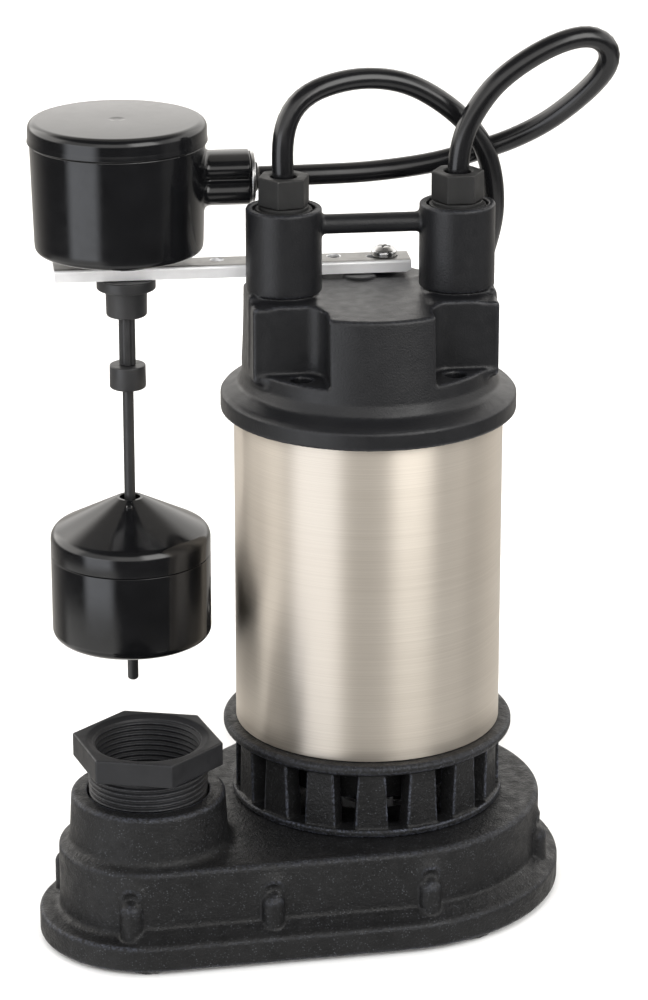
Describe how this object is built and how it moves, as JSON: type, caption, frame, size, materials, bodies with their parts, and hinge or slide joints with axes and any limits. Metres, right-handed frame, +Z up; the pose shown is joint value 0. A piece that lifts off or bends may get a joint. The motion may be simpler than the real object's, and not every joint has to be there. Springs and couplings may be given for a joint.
{
  "type": "submersible sump pump",
  "caption": "Upright submersible sump pump with a vertical float switch on a side bracket, a slotted intake cage and a top-facing discharge socket.",
  "frame": {"origin": "on the floor, under the middle of the pump without its cords", "axes": "+Z up along the motor axis, the cast base runs along X with the discharge at -X and the motor at +X"},
  "size_m": [0.2885, 0.2738, 0.3582],
  "materials": {
    "cast_iron": "black e-coat over granular casting",
    "cap_black": "satin black epoxy, fine texture",
    "bushing_plastic": "dark grey moulded plastic",
    "switch_plastic": "glossy black",
    "rubber": "black rubber",
    "cord_pvc": "black PVC jacket",
    "stainless": "brushed",
    "steel": "machined",
    "zinc_plate": "bright zinc plate",
    "lamination": "stacked laminations",
    "copper": "enamelled copper winding",
    "ceramic": "white ceramic",
    "grey_plastic": "moulded plastic",
    "brass": "bright"
  },
  "bodies": {
    "pump": {"volute_casing": "cast_iron", "intake_cage": "cast_iron", "bottom_cover": "cast_iron", "top_cap": "cap_black", "discharge_bushing": "bushing_plastic", "gland_nut_power": "bushing_plastic", "gland_nut_switch": "bushing_plastic", "gland_washer_power": "bushing_plastic", "gland_washer_switch": "bushing_plastic", "guide_bushing": "bushing_plastic", "switch_body": "switch_plastic", "switch_cover": "switch_plastic", "lower_shell_seal": "rubber", "upper_shell_seal": "rubber", "neck_grommet": "rubber", "cord_tie": "rubber", "plug_body": "rubber", "power_cord": "cord_pvc", "switch_cord": "cord_pvc", "cord_coil": "cord_pvc", "cord_tail": "cord_pvc", "motor_shell": "stainless", "lower_bearing": "steel", "upper_bearing": "steel", "lever_pin": "steel", "bottom_cover_screw_1": "steel", "bottom_cover_screw_2": "steel", "bottom_cover_screw_3": "steel", "bottom_cover_screw_4": "steel", "bottom_cover_screw_5": "steel", "bottom_cover_screw_6": "steel", "bottom_cover_screw_7": "steel", "bottom_cover_screw_8": "steel", "through_bolt_1": "steel", "through_bolt_2": "steel", "through_bolt_3": "steel", "through_bolt_4": "steel", "float_bracket": "zinc_plate", "bracket_screw": "zinc_plate", "neck_ring": "zinc_plate", "stator_core": "lamination", "winding_lower": "copper", "winding_upper": "copper", "seal_stationary": "ceramic", "microswitch": "grey_plastic", "capacitor": "grey_plastic", "plug_blade_1": "brass", "plug_blade_2": "brass", "plug_ground_pin": "brass"},
    "rotor": {"shaft": "stainless", "rotor_core": "lamination", "impeller": "grey_plastic", "impeller_nut": "brass", "seal_rotary": "rubber"},
    "switch_rod": {"float_rod": "bushing_plastic", "stop_collar": "bushing_plastic", "lower_stop": "bushing_plastic"},
    "float": {"float_shell": "switch_plastic", "float_cone": "switch_plastic"},
    "switch_lever": {"switch_lever": "steel"}
  },
  "joints": [
    {"name": "rotor_spin", "type": "hinge", "parent": "pump", "child": "rotor", "pos_m": [0.034, -0.0085, 0.1], "axis": [0, 0, 1], "continuous": true},
    {"name": "rod_slide", "type": "slide", "parent": "pump", "child": "switch_rod", "axis": [0, 0, 1], "range_m": [0, 0.009]},
    {"name": "float_slide", "type": "slide", "parent": "switch_rod", "child": "float", "axis": [0, 0, 1], "range_m": [0, 0.0465]},
    {"name": "lever_pivot", "type": "hinge", "parent": "pump", "child": "switch_lever", "pos_m": [-0.06055, 0.06096, 0.2734], "axis": [-0.4131, -0.9107, 0], "range_deg": [0, 26.5]}
  ],
  "couplings": [
    {"joint": "lever_pivot", "follows": "rod_slide", "rad_per_m": 50}
  ]
}
